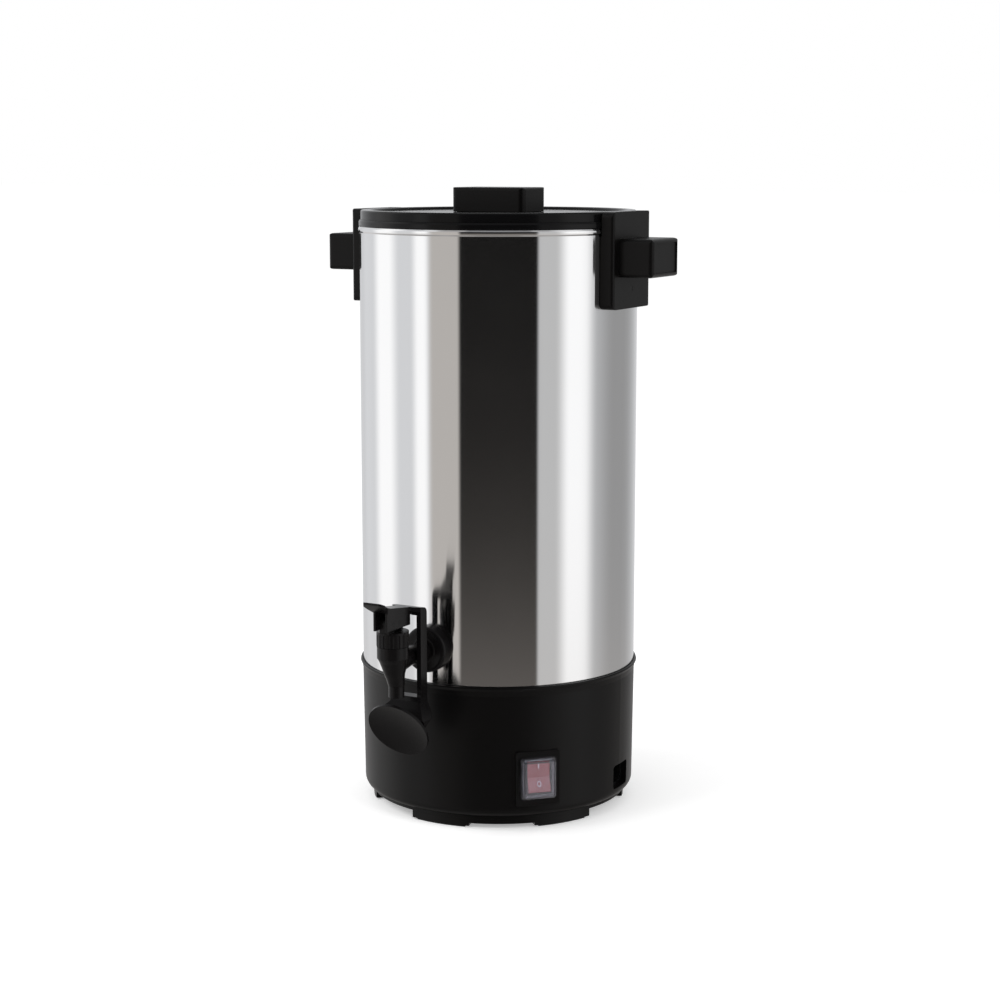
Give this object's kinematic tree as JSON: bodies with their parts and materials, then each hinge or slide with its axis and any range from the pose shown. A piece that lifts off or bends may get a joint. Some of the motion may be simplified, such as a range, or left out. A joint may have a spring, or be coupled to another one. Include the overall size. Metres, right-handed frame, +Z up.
{
  "type": "coffee urn",
  "caption": "Tall cylindrical coffee urn: polished steel tank on a black base, lift-off lid, side grips, push-back tap, rocker switch and a percolator basket inside.",
  "frame": {"origin": "on the tank's axis, on the plane of the table that the rubber pads stand on", "axes": "+Z up along the tank's axis; the tap faces -Y; the two handles lie on +X and -X; the switch lies between -Y and +X, the power inlet at +X"},
  "size_m": [0.316, 0.3343, 0.537],
  "materials": {
    "polished_steel": "polished stainless steel, mirror-like",
    "inner_steel": "satin stainless steel",
    "zinc_steel": "zinc-plated steel",
    "spring_steel": "bright spring steel",
    "black_plastic": "satin black moulded plastic",
    "gloss_black": "glossy black moulded plastic",
    "tap_black": "semi-gloss black moulded plastic",
    "foot_rubber": "matte rubber",
    "silicone": "translucent food silicone",
    "aluminium": "cast",
    "element_sheath": "oxidised element sheath",
    "brass": "bright",
    "thermostat_ceramic": "moulded ceramic body",
    "wire_sleeve": "woven glass sleeve",
    "red_rocker": "translucent red",
    "clear_cover": "clear soft vinyl"
  },
  "bodies": {
    "urn": {"tank": "polished_steel", "tank_studs": "zinc_steel", "stud_nuts": "zinc_steel", "base_housing": "black_plastic", "bottom_cover": "black_plastic", "foot_pads": "foot_rubber", "bottom_screws": "zinc_steel", "collar_ring": "gloss_black", "handle_right": "black_plastic", "handle_left": "black_plastic", "handle_screws": "zinc_steel", "handle_washers": "silicone", "heater_plate": "aluminium", "boil_element": "element_sheath", "warm_element": "element_sheath", "thermostat": "thermostat_ceramic", "boil_dry_cutout": "thermostat_ceramic", "thermostat_bracket": "zinc_steel", "thermal_fuse": "thermostat_ceramic", "wiring": "wire_sleeve", "inlet_socket": "gloss_black", "inlet_pins": "brass", "switch_housing": "gloss_black", "switch_cover": "clear_cover", "tap_body": "tap_black", "tap_flange": "tap_black", "tap_nut": "black_plastic", "tap_gaskets": "silicone", "tap_bonnet": "tap_black", "tap_spring": "spring_steel", "pivot_pin": "tap_black"},
    "rocker": {"switch_rocker": "red_rocker"},
    "lever": {"tap_lever": "tap_black", "lift_pin": "tap_black"},
    "stem": {"tap_stem": "tap_black", "seat_cup": "silicone"},
    "pump": {"pump_tube": "inner_steel", "pump_foot": "inner_steel", "tube_stop": "inner_steel"},
    "basket": {"basket": "inner_steel", "basket_floor": "inner_steel"},
    "spreader": {"basket_cover": "inner_steel"},
    "lid": {"lid": "gloss_black", "lid_knob": "black_plastic", "knob_screw": "zinc_steel"}
  },
  "joints": [
    {"name": "lever_tilt", "type": "hinge", "parent": "urn", "child": "lever", "pos_m": [0, -0.1895, 0.19], "axis": [1, 0, 0], "range_deg": [0, 14], "stiffness_Nm_per_rad": 1, "springref_deg": -11.46},
    {"name": "stem_lift", "type": "slide", "parent": "urn", "child": "stem", "axis": [0, 0, 1], "range_m": [0, 0.0023], "deforming": ["tap_spring"]},
    {"name": "rocker_swing", "type": "hinge", "parent": "urn", "child": "rocker", "pos_m": [0.08131, -0.08274, 0.046], "axis": [0.7133, 0.7009, 0], "range_deg": [0, 20]},
    {"name": "pump_lift", "type": "slide", "parent": "urn", "child": "pump", "axis": [0, 0, 1], "range_m": [0, 0.43]},
    {"name": "basket_lift", "type": "slide", "parent": "pump", "child": "basket", "axis": [0, 0, 1], "range_m": [0, 0.12]},
    {"name": "spreader_lift", "type": "slide", "parent": "basket", "child": "spreader", "axis": [0, 0, 1], "range_m": [0, 0.05]},
    {"name": "lid_lift", "type": "slide", "parent": "spreader", "child": "lid", "axis": [0, 0, 1], "range_m": [0, 0.06]}
  ],
  "couplings": [
    {"joint": "stem_lift", "follows": "lever_tilt", "m_per_rad": 0.009}
  ]
}
